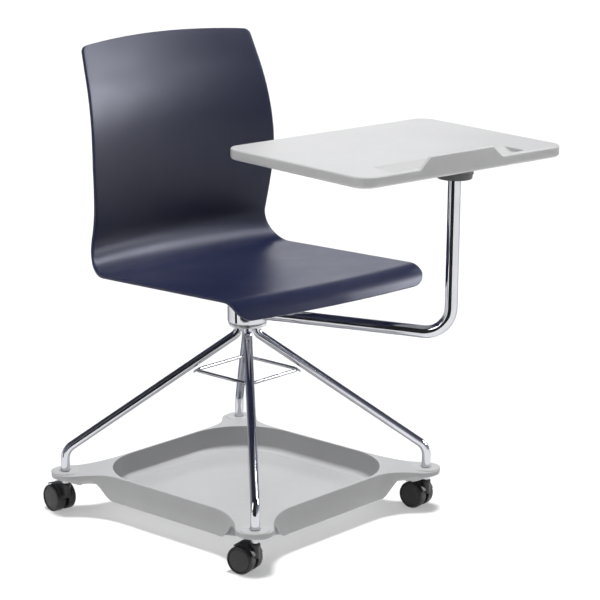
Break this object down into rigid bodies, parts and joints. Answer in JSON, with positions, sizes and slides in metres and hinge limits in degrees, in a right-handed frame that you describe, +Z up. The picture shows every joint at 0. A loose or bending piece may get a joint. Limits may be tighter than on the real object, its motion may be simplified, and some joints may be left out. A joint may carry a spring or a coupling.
{
  "type": "mobile tablet-arm student chair",
  "caption": "Swivelling moulded seat on four bent chrome legs with twin-wheel casters, a lobed book tray, and a writing tablet on a swinging post arm.",
  "frame": {"origin": "on the floor below the middle of the whole chair's box", "axes": "+Z up; the seat faces -Y at rest, and the sitter's left is +X"},
  "size_m": [0.7026, 0.6865, 0.8555],
  "materials": {
    "shell_plastic": "satin, fine moulded grain, deep navy",
    "tray_plastic": "satin light grey, fine moulded grain",
    "tablet_plastic": "satin light grey, fine moulded grain",
    "socket_plastic": "satin mid grey",
    "hood_plastic": "satin black",
    "wheel_plastic": "satin black nylon, worn at the tread",
    "bush_nylon": "natural nylon",
    "chrome": "bright polished plate",
    "plated_steel": "zinc plated"
  },
  "bodies": {
    "base": {"leg_front_right": "chrome", "leg_front_left": "chrome", "leg_back_left": "chrome", "leg_back_right": "chrome", "foot_insert_front_right": "plated_steel", "foot_insert_front_left": "plated_steel", "foot_insert_back_left": "plated_steel", "foot_insert_back_right": "plated_steel", "leg_hub": "plated_steel", "spindle": "plated_steel", "spindle_nut": "plated_steel", "thrust_washer_lower": "bush_nylon", "thrust_washer_upper": "bush_nylon", "brace_ring": "chrome", "book_tray": "tray_plastic"},
    "seat": {"seat_shell": "shell_plastic", "seat_hub": "chrome", "seat_plate": "plated_steel", "seat_bolt_1": "plated_steel", "seat_bolt_2": "plated_steel", "seat_bolt_3": "plated_steel", "seat_bolt_4": "plated_steel"},
    "arm": {"arm_collar": "chrome", "arm_bush_lower": "bush_nylon", "arm_bush_upper": "bush_nylon", "arm_tube": "chrome", "post_bush": "bush_nylon"},
    "tablet": {"tablet_top": "tablet_plastic", "tablet_socket": "socket_plastic", "socket_screw_1": "plated_steel", "socket_screw_2": "plated_steel", "socket_screw_3": "plated_steel", "socket_screw_4": "plated_steel"},
    "caster_front_right": {"caster_hood_front_right": "hood_plastic", "caster_stem_front_right": "plated_steel", "caster_axle_front_right": "plated_steel"},
    "wheel_front_right_left": {"wheel_front_right_left": "wheel_plastic"},
    "wheel_front_right_right": {"wheel_front_right_right": "wheel_plastic"},
    "caster_front_left": {"caster_hood_front_left": "hood_plastic", "caster_stem_front_left": "plated_steel", "caster_axle_front_left": "plated_steel"},
    "wheel_front_left_left": {"wheel_front_left_left": "wheel_plastic"},
    "wheel_front_left_right": {"wheel_front_left_right": "wheel_plastic"},
    "caster_back_left": {"caster_hood_back_left": "hood_plastic", "caster_stem_back_left": "plated_steel", "caster_axle_back_left": "plated_steel"},
    "wheel_back_left_left": {"wheel_back_left_left": "wheel_plastic"},
    "wheel_back_left_right": {"wheel_back_left_right": "wheel_plastic"},
    "caster_back_right": {"caster_hood_back_right": "hood_plastic", "caster_stem_back_right": "plated_steel", "caster_axle_back_right": "plated_steel"},
    "wheel_back_right_left": {"wheel_back_right_left": "wheel_plastic"},
    "wheel_back_right_right": {"wheel_back_right_right": "wheel_plastic"}
  },
  "joints": [
    {"name": "seat_swivel", "type": "hinge", "parent": "base", "child": "seat", "pos_m": [-0.0633, 0.0358, 0.4], "axis": [0, 0, 1], "continuous": true},
    {"name": "arm_swing", "type": "hinge", "parent": "seat", "child": "arm", "pos_m": [-0.0633, 0.0358, 0.376], "axis": [0, 0, 1], "range_deg": [-74, 21]},
    {"name": "tablet_turn", "type": "hinge", "parent": "arm", "child": "tablet", "pos_m": [0.10728, -0.30935, 0.66], "axis": [0, 0, 1], "continuous": true},
    {"name": "caster_swivel_front_right", "type": "hinge", "parent": "base", "child": "caster_front_right", "pos_m": [-0.26556, -0.22495, 0.06], "axis": [0, 0, 1], "continuous": true},
    {"name": "wheel_roll_front_right_left", "type": "hinge", "parent": "caster_front_right", "child": "wheel_front_right_left", "pos_m": [-0.27207, -0.20604, 0.025], "axis": [-0.9455, -0.3256, 0], "continuous": true},
    {"name": "wheel_roll_front_right_right", "type": "hinge", "parent": "caster_front_right", "child": "wheel_front_right_right", "pos_m": [-0.27207, -0.20604, 0.025], "axis": [-0.9455, -0.3256, 0], "continuous": true},
    {"name": "caster_swivel_front_left", "type": "hinge", "parent": "base", "child": "caster_front_left", "pos_m": [0.19745, -0.16646, 0.06], "axis": [0, 0, 1], "continuous": true},
    {"name": "wheel_roll_front_left_left", "type": "hinge", "parent": "caster_front_left", "child": "wheel_front_left_left", "pos_m": [0.19329, -0.1469, 0.025], "axis": [-0.9781, -0.2079, 0], "continuous": true},
    {"name": "wheel_roll_front_left_right", "type": "hinge", "parent": "caster_front_left", "child": "wheel_front_left_right", "pos_m": [0.19329, -0.1469, 0.025], "axis": [-0.9781, -0.2079, 0], "continuous": true},
    {"name": "caster_swivel_back_left", "type": "hinge", "parent": "base", "child": "caster_back_left", "pos_m": [0.13896, 0.29655, 0.06], "axis": [0, 0, 1], "continuous": true},
    {"name": "wheel_roll_back_left_left", "type": "hinge", "parent": "caster_back_left", "child": "wheel_back_left_left", "pos_m": [0.13687, 0.31644, 0.025], "axis": [-0.9945, -0.1045, 0], "continuous": true},
    {"name": "wheel_roll_back_left_right", "type": "hinge", "parent": "caster_back_left", "child": "wheel_back_left_right", "pos_m": [0.13687, 0.31644, 0.025], "axis": [-0.9945, -0.1045, 0], "continuous": true},
    {"name": "caster_swivel_back_right", "type": "hinge", "parent": "base", "child": "caster_back_right", "pos_m": [-0.32405, 0.23806, 0.06], "axis": [0, 0, 1], "continuous": true},
    {"name": "wheel_roll_back_right_left", "type": "hinge", "parent": "caster_back_right", "child": "wheel_back_right_left", "pos_m": [-0.3237, 0.25806, 0.025], "axis": [-0.9998, 0.0174, 0], "continuous": true},
    {"name": "wheel_roll_back_right_right", "type": "hinge", "parent": "caster_back_right", "child": "wheel_back_right_right", "pos_m": [-0.3237, 0.25806, 0.025], "axis": [-0.9998, 0.0174, 0], "continuous": true}
  ]
}
